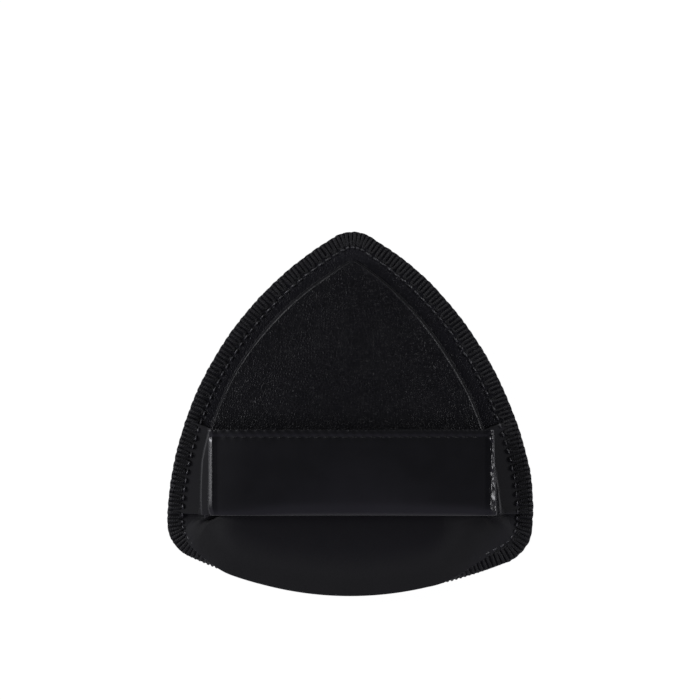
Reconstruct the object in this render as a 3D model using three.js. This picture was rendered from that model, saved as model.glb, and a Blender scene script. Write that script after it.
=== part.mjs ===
// A triangular powder puff with a finger strap. It lies on its velour face, strap side up.
// Millimetres, +Z up and +Y towards the puff's point. The origin is under the middle of its box, on the
// surface that it lies on. Heights are above that surface, and insets are measured inwards from the outline.
import * as THREE from "three";

// Outline, seen from above: three arcs between three corner points, with rounded corners
const cornerSpan = 70.3; // between the two lower corner points
const pointHeight = 60.5; // from the line between them to the third
const pointShift = 0.75; // of the third, to the right of their middle
const lowerSideRadius = 64.8;
const rightSideRadius = 70.2;
const leftSideRadius = 65.6;
const rightCornerRounding = 9.6;
const pointRounding = 6.7;
const leftCornerRounding = 8.2;
const tightestRounding = 0.8; // of an outline that lies deep inside

// Pad
const padHeight = 10.4; // to the middle of its crown
const crownRise = 0.6; // of the middle above the shoulder
const shoulderInset = 5.75;
const shoulderRounding = 0.4;
const grooveWidth = 0.75; // of the flat hollow between the flange and the wall
const grooveRoundingAcross = 0.6; // from the hollow to the wall
const grooveRoundingUp = 0.5;
const layerGap = 0.2; // between layers

// Flange: the layers' sewn border, flat at the sides and curled down along the lower side
const flangeHeight = 6; // of its upper face where it is flat
const flangeWidth = 3.4;
const curledEdgeHeight = 2.9; // of its edge where it hangs
const curlAngle = THREE.MathUtils.degToRad(84);
const curledFall = 0.8; // of the shoulder there
const curledShoulderOut = 1.95; // from the crown's edge to where the pad's side turns down
const curledShoulderDown = 0.45;
const curledRounding = 0.9; // inwards and up, from the flange to the pad's side
const curlStartShare = 0.18; // of the lower side, from the left corner until it is fully curled
const curlEndShare = 0.74; // where it begins to flatten again
const curlRestShare = 0.99; // where it is flat again

// Layers
const coverThickness = 0.5;
const velourThickness = 1.8; // of the face, with its pile
const seamVelourThickness = 0.6; // pressed down by the stitches
const faceInset = 8.2; // of the flat part that the puff rests on
const faceRounding = 1.7;
const foamInset = 7;
const foamBevel = 1.7;

// Overlock threads round the edge
const stitchPitch = 1.7;
const strandsPerStitch = 2;
const bandWidth = 2.1; // from the fabric's edge to where the loops end
const loopThickness = 0.4;
const loopDip = 0.22; // between one strand of the loops and the next
const seamThreadWidth = 0.3;
const bandRoundingShare = 1.4; // of the threads' thickness, along and down, where they turn over the edge

// Finger strap: a strip folded flat and sewn shut along its upper side, with its ends caught in the seam
const strapSpan = 52.4; // between the creases where it turns down to the shoulder
const strapWidth = 16.3;
const strapRise = 15.8; // of its lower side above the outline's lowest point
const strapThickness = 0.6;
const fingerGap = 4.9; // between the pad and the strap
const strapBow = 0.25; // of its middle above its ends
const strapFoldDroop = 0.35; // of its folded side
const strapFoldWidth = 2.4; // that droops
const creaseGap = 0.5;
const seamStrapThickness = 0.4; // of its tails, pressed down by the stitches
const tailSetback = 0.5; // of the tails' ends from the flange's edge
const liftRamp = 0.9; // over which the overlock threads rise beside a tail

// Hem stitches along the strap's upper side
const hemPitch = 1.75;
const hemThreadWidth = 0.3;
const hemInset = 1.25; // from the strap's upper side
const hemEndGap = 0.8; // from the creases
const hemDip = 0.14;

// How finely the faceted solids are divided
const sideSteps = 11;
const cornerSteps = 7;
const curlSteps = [6, 4, 8, 1]; // along the lower side: curling down, curled, flattening, and flat
const strapSteps = 12;
const strapRows = 6;
const tailRows = 6;
const halvings = 40; // in the search for a station
const middleShare = 0.75; // of half the outline's height, how deep the innermost rings lie
const crownShares = [1, 0.5, 0.18, 0]; // from the shoulder to the innermost ring
const faceTurnShares = [[1, 0.25], [1.7, 1.1]]; // of the face's rounding, outwards and up from its flat part
const velourWallShare = 0.6; // from there to the flange

const { lerp, smoothstep } = THREE.MathUtils;

// A point of one profile moved towards the same point of another
const between = (a, b, share) => a.map((value, i) => lerp(value, b[i], share));

// The circle of this radius through a and b, whose middle lies to the left of the way from a to b
function circleThrough(a, b, radius) {
  const half = b.clone().sub(a).divideScalar(2);
  const rise = Math.sqrt(radius ** 2 - half.lengthSq()) / half.length();
  const centre = new THREE.Vector2(-half.y, half.x).multiplyScalar(rise);
  return { centre: centre.add(a).add(half), radius };
}

// The crossing of two circles that lies nearest to a point
function crossing(first, second, near) {
  const way = second.centre.clone().sub(first.centre);
  const distance = way.length();
  const along = (first.radius ** 2 - second.radius ** 2 + distance ** 2) / (2 * distance);
  const across = Math.sqrt(first.radius ** 2 - along ** 2);
  way.normalize();
  const found = [across, -across].map((side) =>
    new THREE.Vector2(-way.y, way.x).multiplyScalar(side).addScaledVector(way, along).add(first.centre),
  );
  return found[0].distanceTo(near) < found[1].distanceTo(near) ? found[0] : found[1];
}

const leftCorner = new THREE.Vector2(-cornerSpan / 2, 0);
const rightCorner = new THREE.Vector2(cornerSpan / 2, 0);
const point = new THREE.Vector2(pointShift, pointHeight);

// The sides, counterclockwise from the lower one, and the corner that ends each
const sides = [
  circleThrough(leftCorner, rightCorner, lowerSideRadius),
  circleThrough(rightCorner, point, rightSideRadius),
  circleThrough(point, leftCorner, leftSideRadius),
];
const corners = [
  { at: rightCorner, rounding: rightCornerRounding },
  { at: point, rounding: pointRounding },
  { at: leftCorner, rounding: leftCornerRounding },
];
// Where these arcs come in outlineArcs
const lowerSide = 0;
const rightRounding = 1;
const leftSide = 4;

// The rounding of one corner of the outline at an inset
function roundingAt(index, inset) {
  const { at, rounding } = corners[index];
  const radius = Math.max(rounding - inset, tightestRounding);
  const [before, after] = [sides[index], sides[(index + 1) % sides.length]].map((side) => ({
    centre: side.centre,
    radius: side.radius - inset - radius,
  }));
  return { centre: crossing(before, after, at), radius };
}

const angleFrom = (centre, to) => Math.atan2(to.y - centre.y, to.x - centre.x);

function arcOf(centre, radius, from, to) {
  const turn = 2 * Math.PI;
  return { centre, radius, from, sweep: (((to - from) % turn) + turn) % turn };
}

// The six arcs of the outline at an inset: each side, then the corner that ends it
function outlineArcs(inset) {
  const rounds = corners.map((corner, i) => roundingAt(i, inset));
  return sides.flatMap((side, i) => {
    const start = rounds[(i + rounds.length - 1) % rounds.length];
    const end = rounds[i];
    const next = sides[(i + 1) % sides.length];
    const leaving = angleFrom(side.centre, end.centre);
    return [
      arcOf(side.centre, side.radius - inset, angleFrom(side.centre, start.centre), leaving),
      arcOf(end.centre, end.radius, leaving, angleFrom(next.centre, end.centre)),
    ];
  });
}

// A station is a place round the outline: an arc, and a share of the way along it
function pointOn(arcs, station) {
  const { centre, radius, from, sweep } = arcs[station.arc];
  const angle = from + sweep * station.share;
  return new THREE.Vector2(Math.cos(angle), Math.sin(angle)).multiplyScalar(radius).add(centre);
}

const steps = (from, to, count) => Array.from({ length: count + 1 }, (_, i) => lerp(from, to, i / count));

// The shares of an arc where the soft layers have a station
function smoothShares(arc) {
  if (arc % 2) return steps(0, 1, cornerSteps);
  if (arc !== lowerSide) return steps(0, 1, sideSteps);
  const turns = [0, curlStartShare, curlEndShare, curlRestShare, 1];
  return curlSteps.flatMap((count, i) => steps(turns[i], turns[i + 1], count).slice(i ? 1 : 0));
}

const smoothStations = outlineArcs(0).flatMap((_, arc) =>
  smoothShares(arc).slice(0, -1).map((share) => ({ arc, share })),
);

const arcLengths = outlineArcs(0).map((arc) => arc.radius * arc.sweep);
const lengthBefore = (arc) => arcLengths.slice(0, arc).reduce((sum, length) => sum + length, 0);
const lengthAt = ({ arc, share }) => lengthBefore(arc) + arcLengths[arc] * share;
const perimeter = lengthBefore(arcLengths.length);

// Stations at even steps of the outline's own length
function evenStations(count) {
  return steps(0, perimeter, count).slice(0, -1).map((length) => {
    const arc = arcLengths.findLastIndex((_, i) => lengthBefore(i) <= length);
    return { arc, share: (length - lengthBefore(arc)) / arcLengths[arc] };
  });
}

// The middle of the outline's box, which becomes the origin, and its lowest point
const box = new THREE.Box2().setFromPoints(smoothStations.map((station) => pointOn(outlineArcs(0), station)));
const middle = box.getCenter(new THREE.Vector2());
const lowest = box.min.y - middle.y;
const middleInset = -lowest * middleShare;

function place(inset, station, height) {
  const { x, y } = pointOn(outlineArcs(inset), station).sub(middle);
  return new THREE.Vector3(x, y, height);
}

// How far the flange is curled down at a station, from 0 to 1
function curlAt({ arc, share }) {
  if (arc !== lowerSide) return 0;
  return smoothstep(share, 0, curlStartShare) * (1 - smoothstep(share, curlEndShare, curlRestShare));
}

// Profiles run outwards from the middle, as [inset, height]

const fabricInset = layerGap + loopThickness; // of the flange's edge, inside its threads
const seamDepth = coverThickness + layerGap + seamVelourThickness;
const shoulderHeight = padHeight - crownRise;

// A point of the flange: along it from its edge, and this deep under its upper face
function flangePoint(curl, along, depth) {
  const angle = curl * curlAngle;
  const edge = lerp(flangeHeight, curledEdgeHeight, curl);
  return [
    fabricInset + along * Math.cos(angle) + depth * Math.sin(angle),
    edge + along * Math.sin(angle) - depth * Math.cos(angle),
  ];
}

function crownPoints(curl) {
  return crownShares.map((share) => [
    lerp(shoulderInset + shoulderRounding, middleInset, share),
    shoulderHeight + crownRise * (1 - (1 - share) ** 2) - curl * curledFall * (1 - share) ** 3,
  ]);
}

// The pad's side: a steep wall over a groove where the flange is flat, and a round slope where it is curled
function wallPoints(curl) {
  const [inset, height] = crownPoints(1).pop();
  const steep = [shoulderInset, shoulderHeight - shoulderRounding];
  const sloping = [inset - curledShoulderOut, height - curledShoulderDown];
  const groove = flangePoint(curl, flangeWidth + grooveWidth, 0);
  const foot = [
    groove[0] + lerp(grooveRoundingAcross, curledRounding, curl),
    groove[1] + lerp(grooveRoundingUp, curledRounding, curl),
  ];
  return [between(steep, sloping, curl), foot, groove];
}

function coverProfile(curl) {
  const flange = [flangeWidth, bandWidth, 0].map((along) => flangePoint(curl, along, 0));
  return [...crownPoints(curl), ...wallPoints(curl), ...flange];
}

// The velour's outer face, and how thick the velour is at each of its points
function velourProfile(curl) {
  const root = flangePoint(curl, flangeWidth, seamDepth);
  const [rim, turn] = faceTurnShares.map(([out, up]) => [faceInset - faceRounding * out, faceRounding * up]);
  return [
    { at: [middleInset, 0], thickness: velourThickness },
    { at: [faceInset, 0], thickness: velourThickness },
    { at: rim, thickness: velourThickness },
    { at: turn, thickness: velourThickness },
    {
      at: between(turn, root, velourWallShare),
      thickness: lerp(velourThickness, seamVelourThickness, velourWallShare),
    },
    { at: root, thickness: seamVelourThickness },
    { at: flangePoint(curl, bandWidth, seamDepth), thickness: seamVelourThickness },
    { at: flangePoint(curl, 0, seamDepth), thickness: seamVelourThickness },
  ];
}

// The unit vector square to a stretch of profile, on its upper or outer side
function squareTo([fromInset, fromHeight], [toInset, toHeight]) {
  return new THREE.Vector2(toHeight - fromHeight, toInset - fromInset).normalize().negate();
}

// A profile moved square to itself, by a distance for each point; above zero is up and out
function moved(profile, distances) {
  return profile.map(([inset, height], i) => {
    const before = squareTo(profile[Math.max(i - 1, 0)], profile[Math.max(i, 1)]);
    const last = profile.length - 1;
    const after = squareTo(profile[Math.min(i, last - 1)], profile[Math.min(i + 1, last)]);
    const square = before.clone().add(after).normalize();
    square.multiplyScalar(distances[i] / Math.max(square.dot(before), Math.SQRT1_2));
    return [inset - square.x, height + square.y];
  });
}

const evenly = (profile, distance) => moved(profile, profile.map(() => distance));

// A mesh from points and from faces, each a ring of point numbers
function meshOf(name, points, faces, material) {
  const triangles = faces.flatMap((face) =>
    face.slice(2).flatMap((corner, i) => [face[0], face[i + 1], corner]),
  );
  const geometry = new THREE.BufferGeometry().setFromPoints(points);
  geometry.setIndex(triangles);
  geometry.computeVertexNormals();
  const mesh = new THREE.Mesh(geometry, material);
  mesh.name = name;
  return mesh;
}

// The points of one closed ring for each place along a profile
function ringPoints(stations, profiles) {
  return profiles[0].flatMap((_, r) =>
    stations.map((station, i) => {
      const [inset, height] = profiles[i][r];
      return place(inset, station, height);
    }),
  );
}

// The faces between such rings, all split along the same diagonal, so that layers that curl stay parallel
function ringFaces(count, profiles, closed) {
  const rings = profiles[0].length;
  const faces = [];
  for (let r = 0; r < rings - (closed ? 0 : 1); r += 1) {
    const next = (r + 1) % rings;
    const outwards = profiles[0][next][0] < profiles[0][r][0];
    for (let i = 0; i < count; i += 1) {
      const after = (i + 1) % count;
      const face = [r * count + i, next * count + i, next * count + after, r * count + after];
      faces.push(outwards ? face : [...face.slice(1), face[0]]);
    }
  }
  return faces;
}

// A soft layer: out along its upper face from the middle, round its edge, and back along its lower face
function layer(name, profileAt, material) {
  const profiles = smoothStations.map((station) => profileAt(curlAt(station)));
  const points = ringPoints(smoothStations, profiles);
  const faces = ringFaces(smoothStations.length, profiles, false);
  const cap = smoothStations.map((_, i) => i);
  faces.push(cap);
  faces.push(cap.map((i) => points.length - 1 - i));
  return meshOf(name, points, faces, material);
}

// A closed ring round the edge. Its section runs clockwise, with the outside of the puff to the right.
function edgeRing(name, stations, sectionAt, material) {
  const sections = stations.map(sectionAt);
  const faces = ringFaces(stations.length, sections, true);
  return meshOf(name, ringPoints(stations, sections), faces, material);
}

// A solid between two grids of points that lie over each other
function slab(name, upper, lower, material) {
  const rows = upper.length;
  const columns = upper[0].length;
  const points = [...upper.flat(), ...lower.flat()];
  const at = (row, column) => row * columns + column;
  const under = (corner) => corner + rows * columns;
  const faces = [];
  const strip = (a, b) => faces.push([a, b, under(b), under(a)]);
  for (let row = 0; row < rows; row += 1) {
    for (let column = 0; column < columns; column += 1) {
      const right = column + 1 < columns;
      const up = row + 1 < rows;
      const corner = at(row, column);
      if (right && up) {
        const face = [corner, at(row, column + 1), at(row + 1, column + 1), at(row + 1, column)];
        faces.push(face);
        faces.push(face.map(under).reverse());
      }
      if (right && row === 0) strip(at(row, column + 1), corner);
      if (right && !up) strip(corner, at(row, column + 1));
      if (up && column === 0) strip(corner, at(row + 1, column));
      if (up && !right) strip(at(row + 1, column), corner);
    }
  }
  const [a, b, c] = [upper[0][0], upper[0][1], upper[1][0]];
  const normal = b.clone().sub(a).cross(c.clone().sub(a));
  const outwards = normal.dot(a.clone().sub(lower[0][0])) > 0;
  return meshOf(name, points, outwards ? faces : faces.map((face) => face.reverse()), material);
}

// Materials

function material(color, roughness) {
  return new THREE.MeshStandardMaterial({ color, roughness, metalness: 0 });
}
const leathercloth = () => material(0x141416, 0.5);
const velour = () => material(0x101012, 0.95);
const foam = () => material(0x1c1c1e, 1);
const satin = () => material(0x18181b, 0.4);
const thread = () => material(0x222225, 0.7);

// The soft layers

function backCover() {
  return layer("back_cover", (curl) => {
    const outer = coverProfile(curl);
    return [...outer, ...evenly(outer, -coverThickness).reverse()];
  }, leathercloth());
}

function foamCore() {
  const bottom = velourThickness + layerGap;
  return layer("foam_core", (curl) => {
    const crown = evenly(coverProfile(curl), -coverThickness - layerGap).slice(0, crownShares.length);
    const rimHeight = crown.pop()[1];
    return [
      ...crown,
      [foamInset, rimHeight],
      [foamInset, bottom + foamBevel],
      [foamInset + foamBevel, bottom],
      [middleInset, bottom],
    ];
  }, foam());
}

function velourFace() {
  return layer("velour_face", (curl) => {
    const profile = velourProfile(curl);
    const outer = profile.map(({ at }) => at);
    return [...moved(outer, profile.map(({ thickness }) => thickness)), ...outer.reverse()];
  }, velour());
}

// The finger strap

const strapLowerY = lowest + strapRise;
const strapUpperY = strapLowerY + strapWidth;
const strapUnderside = padHeight + fingerGap;

// The strap's upper face: bowed along its length, and rounded over at its folded side
function strapTop(x, y) {
  const bow = strapBow * (1 - (2 * x / strapSpan) ** 2);
  const droop = strapFoldDroop * (1 - Math.min((y - strapLowerY) / strapFoldWidth, 1)) ** 2;
  return strapUnderside + strapThickness + bow - droop;
}

function strapGrid(xs, ys, depth) {
  return ys.map((y) => xs.map((x) => new THREE.Vector3(x, y, strapTop(x, y) - depth)));
}

function fingerStrap() {
  const end = strapSpan / 2 - creaseGap;
  const xs = steps(-end, end, strapSteps);
  const ys = steps(strapLowerY, strapUpperY, strapRows);
  return slab("finger_strap", strapGrid(xs, ys, 0), strapGrid(xs, ys, strapThickness), satin());
}

// Where the outline at an inset reaches this y, on two arcs that follow each other
function stationAtY(firstArc, inset, y) {
  const arcs = outlineArcs(inset);
  const stationOf = (way) => ({ arc: firstArc + Math.floor(way), share: way % 1 });
  const yOf = (way) => pointOn(arcs, stationOf(way)).y - middle.y;
  let low = 0;
  let high = 2 - Number.EPSILON;
  const rising = yOf(high) > yOf(low);
  for (let halving = 0; halving < halvings; halving += 1) {
    const half = (low + high) / 2;
    if (yOf(half) < y === rising) low = half;
    else high = half;
  }
  return stationOf(low);
}

function tailStations(firstArc) {
  return steps(strapLowerY, strapUpperY, tailRows).map((y) => stationAtY(firstArc, shoulderInset, y));
}

// One end of the strap: down from its crease to the shoulder, down the pad's wall and out into the seam
function strapTail(name, firstArc, side) {
  const crease = side * strapSpan / 2;
  const rows = tailStations(firstArc).map((station, row) => {
    const y = lerp(strapLowerY, strapUpperY, row / tailRows);
    const curl = curlAt(station);
    const cover = [...coverProfile(curl).slice(0, -1), flangePoint(curl, tailSetback, 0)];
    const face = (distance, out) => [
      new THREE.Vector3(crease + side * out, y, strapTop(crease, y)),
      ...evenly(cover, distance).slice(crownShares.length).map((at) => place(at[0], station, at[1])),
    ];
    return [face(layerGap + seamStrapThickness, strapThickness), face(layerGap, 0)];
  });
  return slab(name, rows.map((row) => row[0]), rows.map((row) => row[1]), satin());
}

// Stitches along the strap's upper side, as one thread that rises and dips
function hemThread() {
  const end = strapSpan / 2 - hemEndGap;
  const count = 2 * Math.round(2 * end / hemPitch);
  const y = strapUpperY - hemInset;
  const ys = [y - hemThreadWidth, y];
  const row = (rise) => steps(-end, end, count).map((x, i) =>
    ys.map((side) => new THREE.Vector3(x, side, strapTop(x, side) + layerGap + rise(i))),
  );
  const upper = row((i) => hemThreadWidth - (i % 2 ? 0 : hemDip));
  return slab("strap_hem_thread", upper, row(() => 0), thread());
}

// The overlock threads

const tailRanges = [rightRounding, leftSide].map((firstArc) => {
  const ends = tailStations(firstArc).map(lengthAt);
  return [Math.min(...ends), Math.max(...ends)];
});

// How far the threads rise over the strap's tails at a station
function tailLift(station) {
  const length = lengthAt(station);
  const shares = tailRanges.map(([from, to]) => {
    const beside = Math.max(from - length, length - to, liftRamp);
    return 1 - smoothstep(beside, liftRamp, 2 * liftRamp);
  });
  return (seamStrapThickness + layerGap) * Math.max(...shares);
}

const stitchCount = Math.round(perimeter / stitchPitch);

// The loops on the upper face. Each strand is a ridge, and the ring dips before the next.
function upperLooper() {
  const tip = (seamDepth - layerGap) / 2;
  const stations = evenStations(2 * strandsPerStitch * stitchCount);
  return edgeRing("overlock_upper_looper", stations, (station, i) => {
    const thickness = loopThickness - (i % 2 ? loopDip : 0);
    const rounding = bandRoundingShare * thickness;
    const under = -layerGap - tailLift(station);
    const top = under - thickness;
    const out = -layerGap - thickness;
    return [
      [bandWidth, top],
      [out + rounding, top],
      [out, top + rounding],
      [-layerGap - thickness / 2, tip],
      [-layerGap, under],
      [bandWidth, under],
    ].map(([along, depth]) => flangePoint(curlAt(station), along, depth));
  }, thread());
}

function lowerLooper() {
  const tip = (seamDepth + layerGap) / 2;
  const top = seamDepth + layerGap;
  const bottom = top + loopThickness;
  const out = -layerGap - loopThickness;
  const rounding = bandRoundingShare * loopThickness;
  return edgeRing("overlock_lower_looper", smoothStations, (station) => [
    [bandWidth, top],
    [-layerGap, top],
    [-layerGap - loopThickness / 2, tip],
    [out, bottom - rounding],
    [out + rounding, bottom],
    [bandWidth, bottom],
  ].map(([along, depth]) => flangePoint(curlAt(station), along, depth)), thread());
}

// The straight stitches that end the loops
function needleThread() {
  const from = bandWidth + layerGap;
  const to = from + seamThreadWidth;
  return edgeRing("overlock_needle_thread", evenStations(stitchCount), (station) => {
    const under = -layerGap - tailLift(station);
    const top = under - seamThreadWidth;
    return [[to, top], [from, top], [from, under], [to, under]].map(([along, depth]) =>
      flangePoint(curlAt(station), along, depth),
    );
  }, thread());
}

const puff = new THREE.Group();
puff.add(velourFace(), foamCore(), backCover());
puff.add(lowerLooper(), upperLooper(), needleThread());
puff.add(strapTail("strap_left_tail", leftSide, -1), strapTail("strap_right_tail", rightRounding, 1));
puff.add(fingerStrap(), hemThread());

export default puff;
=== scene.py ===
"""A triangular powder puff with a finger strap, lying on its velour face."""

import math

import bpy
import numpy as np
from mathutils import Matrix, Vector


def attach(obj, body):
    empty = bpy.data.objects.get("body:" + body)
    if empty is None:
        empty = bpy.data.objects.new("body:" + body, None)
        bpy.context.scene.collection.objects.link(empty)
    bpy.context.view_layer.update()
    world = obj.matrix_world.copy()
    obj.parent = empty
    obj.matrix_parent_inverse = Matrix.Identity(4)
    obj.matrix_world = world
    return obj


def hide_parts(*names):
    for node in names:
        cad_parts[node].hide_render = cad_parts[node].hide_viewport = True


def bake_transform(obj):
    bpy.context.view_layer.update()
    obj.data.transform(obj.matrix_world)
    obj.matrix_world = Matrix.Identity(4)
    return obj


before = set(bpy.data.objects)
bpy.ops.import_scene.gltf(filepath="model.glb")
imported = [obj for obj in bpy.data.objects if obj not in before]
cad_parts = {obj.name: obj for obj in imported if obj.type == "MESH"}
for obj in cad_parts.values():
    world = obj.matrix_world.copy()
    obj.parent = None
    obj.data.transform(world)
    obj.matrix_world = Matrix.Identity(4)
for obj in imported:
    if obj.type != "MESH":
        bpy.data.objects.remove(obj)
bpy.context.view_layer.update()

# Sizes are in millimetres, and become metres where a mesh, lamp or camera is made
MM = 0.001

# The photograph's frame, and the puff's place in it
FRAME_PX = 700
PX_PER_MM = 5.23
OUTLINE_MIDDLE_PX = (349.5, 414.5)

# Outline, seen from above: three arcs between three corner points, with rounded corners
CORNER_SPAN = 70.3
POINT_HEIGHT = 60.5
POINT_SHIFT = 0.75
LOWER_SIDE_RADIUS = 64.8
RIGHT_SIDE_RADIUS = 70.2
LEFT_SIDE_RADIUS = 65.6
RIGHT_CORNER_ROUNDING = 9.6
POINT_ROUNDING = 6.7
LEFT_CORNER_ROUNDING = 8.2
TIGHTEST_ROUNDING = 0.8

# Pad
PAD_HEIGHT = 10.4
CROWN_RISE = 0.6
SHOULDER_INSET = 5.75  # its usual value
WALL_BATTER = 0.4  # how much further out the wall's foot lies
GROOVE_ROUNDING = 0.04
SOFT_BAND = (-26.0, -17.2)  # the shoulder turns soft between these y of the outline
SOFT_RIM_BAND = (-21.0, -6.0)  # and the crown's rim between these
SOFT_RIM = 10.0  # towards the lower side: further in by this
SOFT_SHOULDER = (1.7, 7.6)  # further in by this, and its height
SOFT_FOOT = (2.85, 6.15)  # inset and height of the foot there
SOFT_ROUNDING = (2.6, 0.55)
SOFT_FLANGE_END = 1.9
MIDDLE_INSET = 26
LAYER_GAP = 0.2
FLAT_BANDS = (2.7, 3.1)  # the flange's flat width at the sides, and where it is curled
# The shoulder's inset at places round the outline: the arc's number plus the share along it
SHOULDER_INSETS = [
    (0.02, 6.8), (0.95, 6.5), (1.5, 6.5), (2.05, 6.5), (2.2, 6.3), (2.4, 6.0), (2.57, 5.95),
    (2.71, 5.75), (2.9, 5.6), (3.5, 5.8), (4.05, 5.7), (4.24, 5.3), (4.49, 5.15), (4.68, 5.4),
    (4.81, 5.8), (4.88, 6.4), (4.98, 7.1), (5.5, 7.0),
]
# How far the shoulder is rounded off at places round the outline
SHOULDER_ROUNDINGS = [
    (0.5, 0.3), (1.5, 0.3), (2.2, 0.42), (2.68, 0.48), (2.76, 0.3), (2.93, 0.16), (3.5, 0.12),
    (4.03, 0.16), (4.09, 0.46), (4.28, 0.48), (4.36, 0.3), (4.48, 0.22), (4.58, 0.12), (5.5, 0.12),
]
# How far the edge lies out of the arcs at places round the outline
EDGE_DRIFTS = [
    (0.03, 0.3), (0.1, 0.15), (0.25, 0), (0.75, 0), (0.82, 0.35), (0.9, 0.45), (0.97, 0.6),
    (1.15, 0.8), (1.5, 0.7), (1.72, 0.25), (1.85, 0), (1.97, 0.1), (2.04, 0.3), (2.1, 0.6),
    (2.3, 0.5), (2.8, 0.5), (2.9, 0.3), (2.97, 0), (4.03, 0), (4.5, -0.12), (4.93, -0.2),
    (5.1, -0.2), (5.4, 0.05), (5.8, 0.3),
]
DRIFT_INSETS = (0.5, 5.4)  # the drift fades out between these insets
PAD_WAVES = ((0.03, 23, 3), (0.003, 7, 4))  # height, length and seed
# The pad's wrinkles: height, pitch, turn, middle, and how far they reach
WRINKLE_HEIGHT, WRINKLE_PITCH, WRINKLE_TURN = 0.045, 2.1, math.radians(38)
WRINKLE_MIDDLE, WRINKLE_REACH = (21, 1.0), (6.5, 5.5)

# Flange: flat at the sides, curled down along the lower side
FLANGE_HEIGHT = 6
FLANGE_WIDTH = 3.4
FABRIC_INSET = 0.22
THREAD_STAND = 0.38  # of the threads over the flange
FOLD_COVER = 0.17  # how much further in the curled flange lies, to hide its threads
CURLED_EDGE_HEIGHT = 2.9
CURL_ANGLE = math.radians(88)
CURLED_FALL, CURLED_FALL_POWER = 1.1, 2.2  # of the crown's rim there
CURLED_SHOULDER = (4.2, 8.25)  # inset and height of the blunt corner there
CURLED_FOOT = (-0.3, 7.05)
CURLED_ROUNDING = (1.6, 1.3)  # of the shoulder and of the foot there
# Lengths along the outline from the start of the lower side, where the flange curls down and up
CURL_DOWN = (-7.0, 9.0)
CURL_UP = (47.0, 65.5)

# Layers
COVER_THICKNESS = 0.5
INNER_ROUNDING = 0.7  # how much the roundings change with the depth in the cover
LEAST_ROUNDING, ROUNDING_ROOM = 0.06, 0.85  # in millimetres, and of the flange's width
VELOUR_THICKNESS = 1.8
SEAM_VELOUR_THICKNESS = 0.6
SEAM_DEPTH = COVER_THICKNESS + LAYER_GAP + SEAM_VELOUR_THICKNESS
FACE_CORNER_INSET = 5.9
# Of the face, the bulge and the root: the roundings at the pile's tips and at its root
TIP_ROUNDINGS, ROOT_ROUNDINGS = (2.3, 1.1, 0.45), (0.6, 0.9, 0.2)
VELOUR_SHARES = (1.0, 1.0, 0.8, 0.34, 0.34)  # of its thickness, from the face to the edge
BULGE_SHARE = 0.52  # how far up the side it bulges most
FACE_FLAT = 3.5  # the width of flat face inside its rounded corner
SIDE_BULGE = 0.45
SEAM_OVERHANG = 0.19  # of the cloth's cut edges past the flange's edge
FOAM_INSET = 7.3
FOAM_SOFT_RIM = 6.2
FOAM_CURL_DROP = 0.5
FOAM_BEVEL = 1.7

# Overlock
STITCHES = 125
THREAD_RADII = (0.28, 0.15)  # across and through the flattened thread
NEEDLE_LINE = 2.72  # along the flange from the fabric's edge
NEEDLE_RADII = (0.2, 0.16)
NEEDLE_DENT = (0.08, 0.45)  # depth and half width of the cover's dents under the needle thread
# The threads rise over the strap's sewn ends: how far, beside an end, over and along the flange
TAIL_LIFT, LIFT_BESIDE, LIFT_OVER, LIFT_ALONG = 0.52, (-0.1, 0.9), (-0.4, 0.1), (-0.3, 0.5)
# How the stitches differ: a standard deviation, and a limit
LEAN_SCATTER, REACH_SCATTER, RISE_SCATTER = (0.055, 0.11), (0.1, 0.2), (0.045, 0.08)
KNOT_SCATTER = NEEDLE_SCATTER = (0.03, 0.06)

# Strap
STRAP_SPAN = 52.4
STRAP_WIDTH = 16.3
STRAP_RISE = 15.8
STRAP_THICKNESS = 0.6
PLY_GAP = 0.06
FINGER_GAP = 4.9
STRAP_BOW = 0.25
FOLD_DROOP = 0.42
FOLD_WIDTH = 2.6
EDGE_DROOP = 0.4
EDGE_WIDTH = 0.9
# The strap's left and right ends: how far out each turns down and lands on the pad, and its
# bevel's way out and down, all at the lower and the upper side; the roundings of the crease
# and the bevel; the seed and the amount of its crinkles
ENDS = {
    -1: ((26.0, 26.0), (26.6, 26.4), ((0.6, 0.268), (0.46, 0.205)), (0.08, 0.1), (20, 0.3)),
    1: ((26.65, 27.0), (28.4, 27.4), ((1.0, 0.55), (0.15, 0.1)), (0.06, 0.2), (22, 1.0)),
}
# The strap's surface: how much it changes, and the x or y that each change comes in between
DROOP_LEFT, DROOP_LEFT_X = 0.3, (-24, -9)  # what the left end keeps of the droop
DROOP_RIGHT, DROOP_RIGHT_X = 0.5, (22.5, 26.5)  # what the right end loses of it
STRAP_WAVES = (0.035, 24)  # height and length
END_CURL, END_CURL_X, END_CURL_EASE = 0.11, 19.5, 5  # how strong, from where, how soon
END_LIP, END_LIP_X = 0.2, (25.3, 25.95)
RIGHT_DIP, RIGHT_DIP_X, RIGHT_DIP_Y = 0.06, (24.6, 26.6), (-11, -5)
WEDGE_DEPTH, WEDGE_LENGTH, WEDGE_TIP = 0.55, 10, (1.2, -6.5)
WEDGE_WIDTHS = (2.5, 9)  # at its tip, and how much it widens over its length
RIGHT_TIP, RIGHT_TIP_X, RIGHT_TIP_Y = 0.3, (0, 28), (-14, -2)
PUCKER_DEPTHS, PUCKER_WIDTH = (0.1, 0.05), 0.42
SCALLOP_RISES, SCALLOP_WIDTH = (-0.06, 0.13), 0.6
# Crinkles of the strap's ends where they drop, and ripples on the bevels: height and length
CRINKLES, RIPPLES = ((0.14, 3.2), (0.05, 1.3)), (0.12, 1.4)
RIPPLES_X, RIPPLES_Z = (26.5, 26.9), (13.6, 14.4)
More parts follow.
